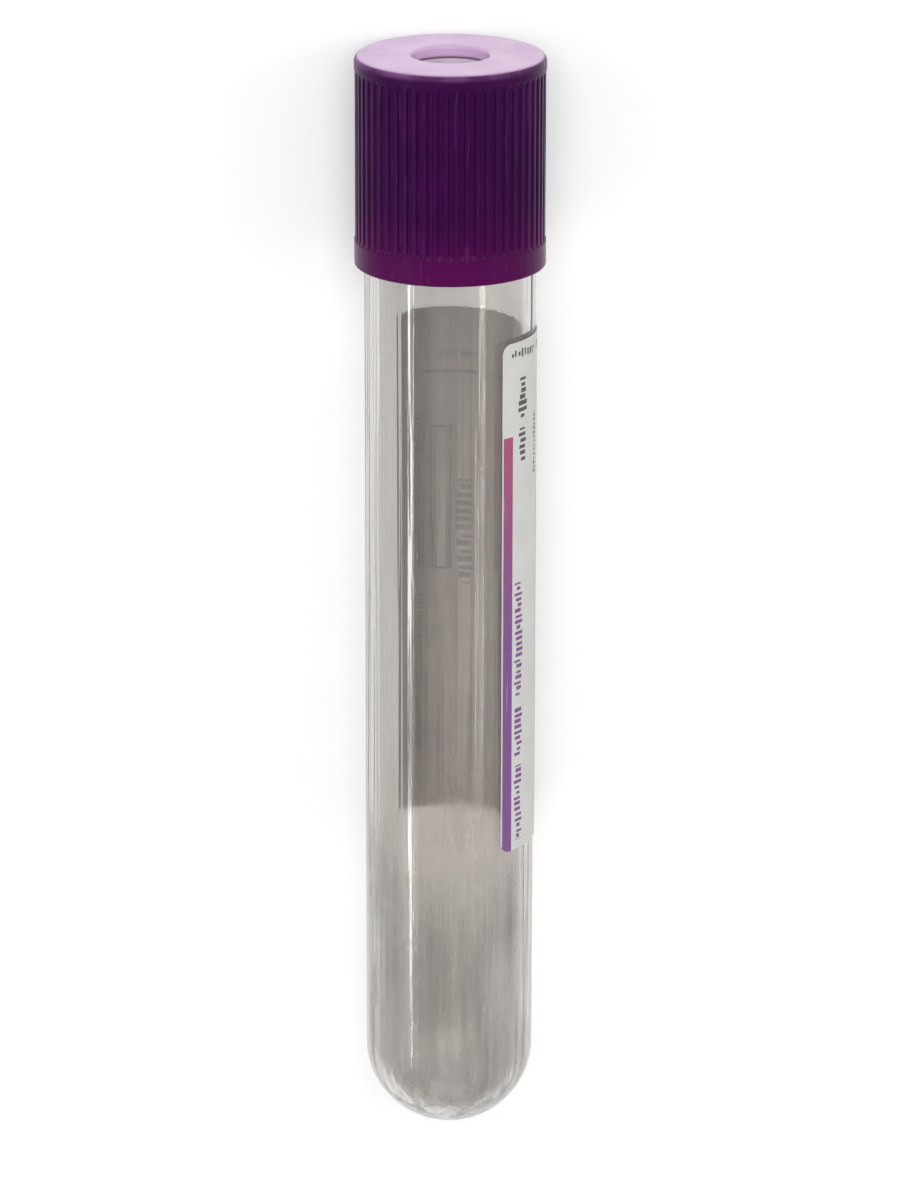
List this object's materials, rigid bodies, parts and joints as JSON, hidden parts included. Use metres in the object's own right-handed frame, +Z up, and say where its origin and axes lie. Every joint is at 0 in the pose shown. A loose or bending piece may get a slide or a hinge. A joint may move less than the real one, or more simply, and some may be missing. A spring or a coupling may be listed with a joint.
{
  "type": "blood collection tube",
  "caption": "Clear round-bottomed blood collection tube lying on its side, with a ribbed purple cap, a rubber stopper and a paper label.",
  "frame": {"origin": "on the floor, under the middle of the tube's length, as the tube lies at rest", "axes": "+Y along the tube towards the cap, +Z up, through the bare window, +X towards the label's first edge"},
  "size_m": [0.0178, 0.1056, 0.018],
  "materials": {
    "clear_plastic": "clear, smooth",
    "label_paper": "matt white",
    "stopper_rubber": "satin",
    "cap_plastic": "satin gloss"
  },
  "bodies": {
    "barrel": {"tube": "clear_plastic", "label": "label_paper"},
    "closure": {"cap": "cap_plastic", "stopper": "stopper_rubber"}
  },
  "joints": [
    {"name": "closure_pull", "type": "slide", "parent": "barrel", "child": "closure", "axis": [0, 0.9999, 0.0115], "range_m": [0, 0.03]}
  ]
}
